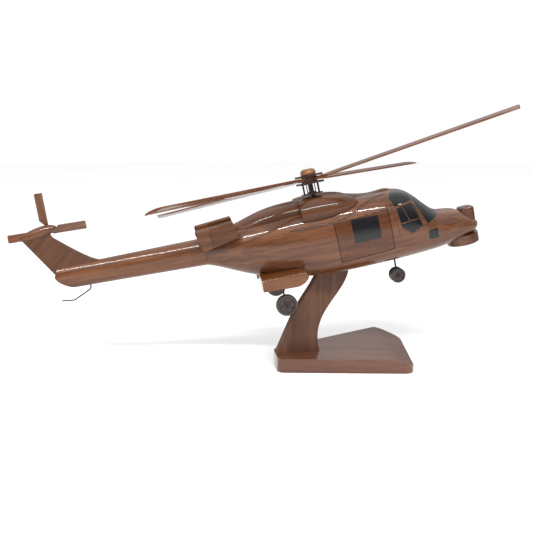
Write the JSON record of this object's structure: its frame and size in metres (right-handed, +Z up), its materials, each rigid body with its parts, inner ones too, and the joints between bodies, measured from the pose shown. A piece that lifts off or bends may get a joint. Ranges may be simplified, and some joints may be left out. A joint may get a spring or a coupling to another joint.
{
  "type": "helicopter scale model",
  "caption": "Carved hardwood desk model of a utility helicopter on a wedge stand, with turning rotors and wheels.",
  "frame": {"origin": "middle of the plinth's flat underside", "axes": "+Z up from the plinth's underside, +X the way the nose points in plan, +Y to port"},
  "size_m": [0.4219, 0.2882, 0.2312],
  "materials": {
    "glazing": "gloss",
    "black_steel": "satin black",
    "dark_hub_wood": "satin lacquer",
    "dark_wheel_wood": "gloss lacquer",
    "blade_wood": "gloss lacquer",
    "stand_mahogany": "gloss lacquer",
    "mahogany": "gloss lacquer"
  },
  "bodies": {
    "airframe": {"base_screws": "black_steel", "cabin_body": "mahogany", "cabin_door_port": "mahogany", "cabin_door_stbd": "mahogany", "cabin_window_port": "glazing", "cabin_window_stbd": "glazing", "engine_deck": "mahogany", "engine_intake_port": "mahogany", "engine_intake_stbd": "mahogany", "exhaust_port": "mahogany", "exhaust_stbd": "mahogany", "eyebrow_window_port": "glazing", "eyebrow_window_stbd": "glazing", "main_gear_leg_port": "black_steel", "main_gear_leg_stbd": "black_steel", "mast_bush": "dark_hub_wood", "nose_gear_leg": "black_steel", "nose_radome": "mahogany", "nose_turret": "dark_hub_wood", "nose_window_port": "glazing", "nose_window_stbd": "glazing", "plinth": "stand_mahogany", "pylon": "stand_mahogany", "pylon_peg": "black_steel", "side_window_port": "glazing", "side_window_stbd": "glazing", "sponson_port": "mahogany", "sponson_stbd": "mahogany", "tail_boom": "mahogany", "tail_fin": "mahogany", "tail_gearbox_pod": "mahogany", "tail_skid": "black_steel", "windscreen_port": "glazing", "windscreen_stbd": "glazing"},
    "main_rotor": {"rotor_mast": "black_steel", "hub_upper_plate": "dark_hub_wood", "hub_lower_plate": "dark_hub_wood", "hub_core": "dark_hub_wood", "hub_cap": "mahogany", "swashplate": "dark_hub_wood", "pitch_links": "black_steel", "main_blade_1": "blade_wood", "main_blade_2": "blade_wood", "main_blade_3": "blade_wood", "main_blade_4": "blade_wood"},
    "tail_rotor": {"tail_shaft": "black_steel", "tail_hub": "dark_hub_wood", "tail_blade_1": "blade_wood", "tail_blade_2": "blade_wood", "tail_blade_3": "blade_wood", "tail_blade_4": "blade_wood"},
    "main_wheel_stbd": {"main_wheel_stbd": "dark_wheel_wood"},
    "main_wheel_port": {"main_wheel_port": "dark_wheel_wood"},
    "nose_wheel_stbd": {"nose_wheel_stbd": "dark_wheel_wood"},
    "nose_wheel_port": {"nose_wheel_port": "dark_wheel_wood"}
  },
  "joints": [
    {"name": "main_rotor_spin", "type": "hinge", "parent": "airframe", "child": "main_rotor", "pos_m": [-0.03, -0.012, 0.1675], "axis": [-0.1986, 0.0872, 0.9762], "continuous": true},
    {"name": "tail_rotor_spin", "type": "hinge", "parent": "airframe", "child": "tail_rotor", "pos_m": [-0.26069, -0.0034, 0.12414], "axis": [0, 1, 0], "continuous": true},
    {"name": "main_wheel_stbd_spin", "type": "hinge", "parent": "airframe", "child": "main_wheel_stbd", "pos_m": [-0.055, -0.0515, 0.06465], "axis": [0, 1, 0], "continuous": true},
    {"name": "main_wheel_port_spin", "type": "hinge", "parent": "airframe", "child": "main_wheel_port", "pos_m": [-0.055, 0.0275, 0.06465], "axis": [0, 1, 0], "continuous": true},
    {"name": "nose_wheel_stbd_spin", "type": "hinge", "parent": "airframe", "child": "nose_wheel_stbd", "pos_m": [0.05199, -0.0156, 0.08152], "axis": [0, 1, 0], "continuous": true},
    {"name": "nose_wheel_port_spin", "type": "hinge", "parent": "airframe", "child": "nose_wheel_port", "pos_m": [0.05199, -0.0084, 0.08152], "axis": [0, 1, 0], "continuous": true}
  ]
}
